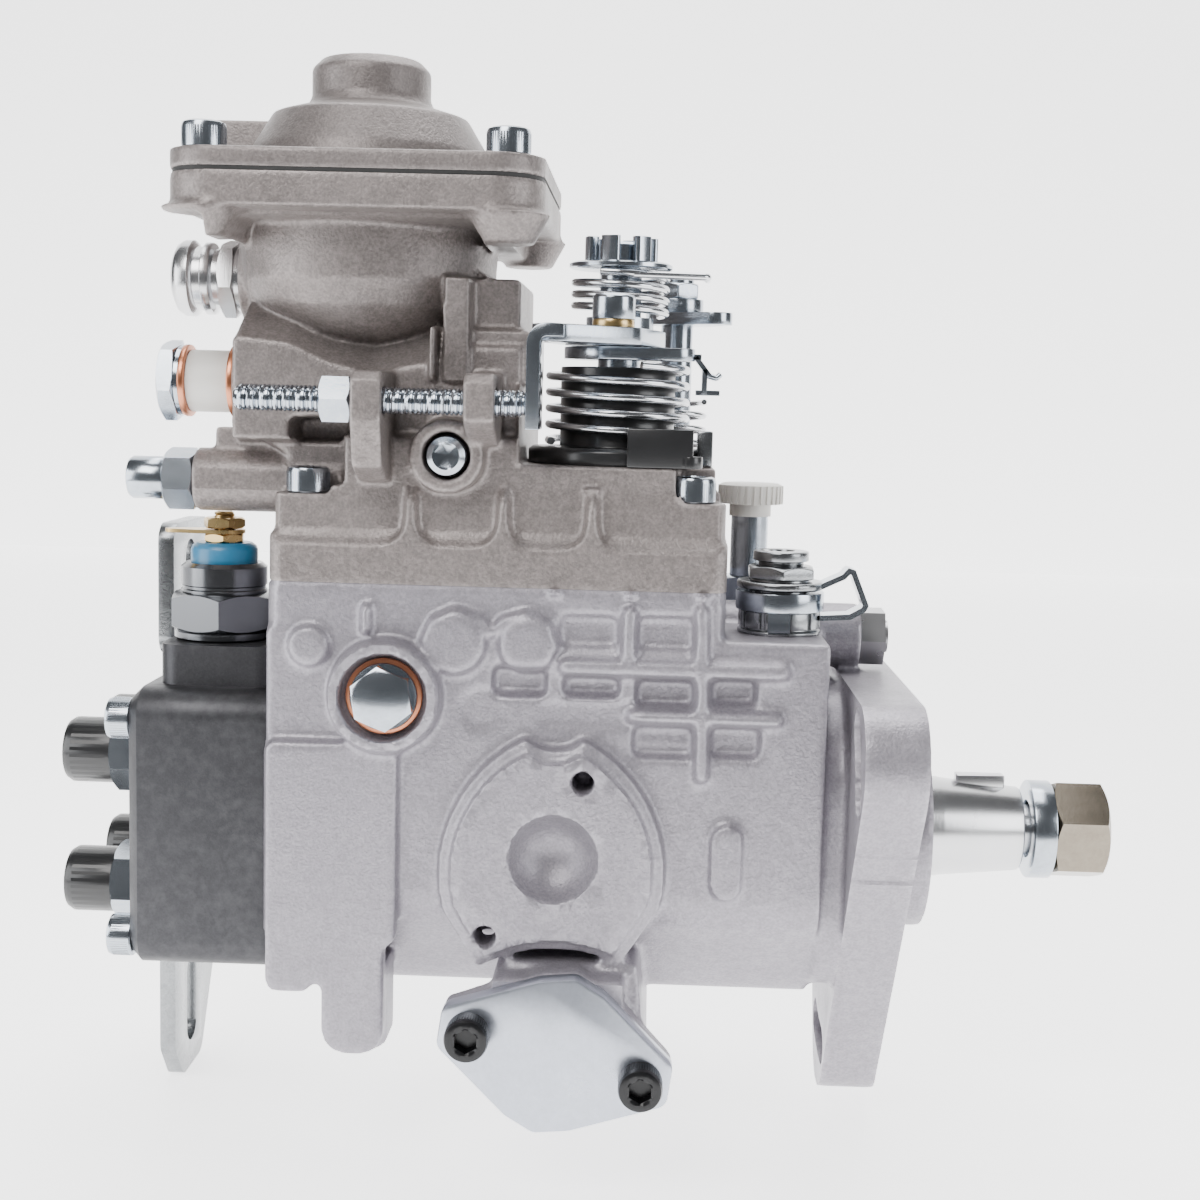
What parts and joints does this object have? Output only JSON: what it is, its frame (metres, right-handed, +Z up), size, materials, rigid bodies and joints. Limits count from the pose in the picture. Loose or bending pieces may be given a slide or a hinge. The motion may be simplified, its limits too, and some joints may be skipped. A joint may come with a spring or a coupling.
{
  "type": "diesel injection pump",
  "caption": "Distributor diesel injection pump with flange, taper drive shaft, governor cover, boost compensator, throttle levers and a head with capped outlets.",
  "frame": {"origin": "centre of the mounting flange's front face, on the drive axis, where the pilot starts", "axes": "+X out along the drive shaft, +Z up to the governor cover, -Y towards the side with the cold-start pad"},
  "size_m": [0.2577, 0.127, 0.261],
  "materials": {
    "housing_cast": "fine sand-cast, shot-blasted",
    "cover_cast": "fine-grained die-cast, slightly warm grey",
    "aneroid_cast": "fine-grained die-cast, slightly warm grey",
    "phosphated_steel": "dark grey phosphated",
    "zinc_steel": "blue-white zinc plated",
    "bright_steel": "turned and ground",
    "yellow_zinc": "yellow passivated zinc",
    "black_steel": "blackened",
    "spring_steel": "zinc plated wire",
    "inner_steel": "ground, oiled",
    "piston_alloy": "turned",
    "copper": "bright copper",
    "terminal_brass": "bright brass with a copper tag",
    "blue_plastic": "moulded blue",
    "white_plastic": "moulded off-white",
    "black_plastic": "moulded black",
    "rubber": "black"
  },
  "bodies": {
    "pump_body": {"aneroid_cover": "aneroid_cast", "aneroid_diaphragm": "rubber", "aneroid_spring": "spring_steel", "copper_washers": "copper", "cover_screws": "zinc_steel", "delivery_caps": "black_plastic", "delivery_valve_holders": "zinc_steel", "distributor_head": "phosphated_steel", "full_load_screw": "zinc_steel", "governor_cover": "cover_cast", "governor_shaft": "inner_steel", "head_plug": "zinc_steel", "head_screws": "zinc_steel", "idle_screw": "zinc_steel", "inlet_cap": "white_plastic", "inlet_union": "zinc_steel", "lock_nuts": "zinc_steel", "overflow_bolt": "zinc_steel", "pivot_bolts": "zinc_steel", "plunger_springs": "spring_steel", "pump_housing": "housing_cast", "pump_ring": "inner_steel", "rear_bracket": "phosphated_steel", "regulating_valve": "zinc_steel", "return_union": "bright_steel", "shaft_seal": "rubber", "side_plug": "zinc_steel", "solenoid_body": "phosphated_steel", "solenoid_insulator": "blue_plastic", "solenoid_terminal": "terminal_brass", "spring_sleeve": "black_plastic", "stop_spring": "spring_steel", "throttle_spring": "spring_steel", "timing_covers": "zinc_steel", "timing_screws": "black_steel", "timing_spring": "spring_steel", "transit_sleeve": "white_plastic", "valve_clip": "zinc_steel"},
    "drive": {"drive_shaft": "bright_steel", "shaft_key": "bright_steel", "lock_washer": "bright_steel", "shaft_nut": "yellow_zinc", "pump_rotor": "inner_steel", "drive_gear": "inner_steel", "cross_coupling": "inner_steel"},
    "cam": {"cam_plate": "inner_steel", "distributor_plunger": "inner_steel"},
    "governor": {"governor_cage": "inner_steel", "governor_weights": "inner_steel"},
    "sleeve": {"governor_sleeve": "inner_steel"},
    "lever": {"governor_lever": "inner_steel"},
    "spill": {"control_sleeve": "inner_steel"},
    "rollers": {"roller_ring": "inner_steel"},
    "advance": {"timing_piston": "piston_alloy"},
    "throttle": {"throttle_shaft": "zinc_steel", "throttle_lever": "zinc_steel", "upper_spring": "spring_steel"},
    "stop": {"stop_lever": "zinc_steel"},
    "solenoid_pin": {"solenoid_plunger": "inner_steel"},
    "boost_pin": {"aneroid_pin": "inner_steel"}
  },
  "joints": [
    {"name": "drive_turn", "type": "hinge", "parent": "pump_body", "child": "drive", "pos_m": [0, 0, 0], "axis": [1, 0, 0], "continuous": true},
    {"name": "cam_slide", "type": "slide", "parent": "drive", "child": "cam", "axis": [1, 0, 0], "range_m": [0, 0.0022], "deforming": ["plunger_springs"]},
    {"name": "governor_turn", "type": "hinge", "parent": "pump_body", "child": "governor", "pos_m": [-0.06, 0, 0.048], "axis": [1, 0, 0], "continuous": true},
    {"name": "governor_lever_tilt", "type": "hinge", "parent": "pump_body", "child": "lever", "pos_m": [-0.1213, 0, 0.0366], "axis": [0, 1, 0], "range_deg": [-4, 4], "stiffness_Nm_per_rad": 1},
    {"name": "governor_sleeve_slide", "type": "slide", "parent": "pump_body", "child": "sleeve", "axis": [1, 0, 0], "range_m": [-0.00079, 0.00079]},
    {"name": "control_sleeve_slide", "type": "slide", "parent": "pump_body", "child": "spill", "axis": [1, 0, 0], "range_m": [-0.00197, 0.00197]},
    {"name": "roller_ring_turn", "type": "hinge", "parent": "pump_body", "child": "rollers", "pos_m": [-0.08, 0, 0], "axis": [1, 0, 0], "range_deg": [0, 6.6]},
    {"name": "timing_piston_slide", "type": "slide", "parent": "pump_body", "child": "advance", "axis": [0, 1, 0], "range_m": [0, 0.00499], "stiffness_N_per_m": 3000, "springref_m": -0.002, "deforming": ["timing_spring"]},
    {"name": "throttle_turn", "type": "hinge", "parent": "pump_body", "child": "throttle", "pos_m": [-0.0705, -0.015, 0.1], "axis": [0, 0, 1], "range_deg": [0, 35], "stiffness_Nm_per_rad": 0.4, "springref_deg": -17.19, "deforming": ["throttle_spring"]},
    {"name": "stop_turn", "type": "hinge", "parent": "pump_body", "child": "stop", "pos_m": [-0.0565, 0.013, 0.1], "axis": [0, 0, 1], "range_deg": [0, 25], "stiffness_Nm_per_rad": 0.15, "springref_deg": -17.19, "deforming": ["stop_spring"]},
    {"name": "solenoid_pin_slide", "type": "slide", "parent": "pump_body", "child": "solenoid_pin", "axis": [0, 0, 1], "range_m": [0, 0.0016], "stiffness_N_per_m": 500, "springref_m": -0.003},
    {"name": "boost_pin_slide", "type": "slide", "parent": "pump_body", "child": "boost_pin", "axis": [0, 0, 1], "range_m": [-0.004, 0], "stiffness_N_per_m": 3000, "springref_m": 0.003, "deforming": ["aneroid_spring", "aneroid_diaphragm"]}
  ],
  "couplings": [
    {"joint": "governor_turn", "follows": "drive_turn", "ratio": -1.5},
    {"joint": "governor_lever_tilt", "follows": "governor_sleeve_slide", "rad_per_m": 87.72},
    {"joint": "control_sleeve_slide", "follows": "governor_sleeve_slide", "ratio": -2.465},
    {"joint": "roller_ring_turn", "follows": "timing_piston_slide", "rad_per_m": 22.73}
  ]
}
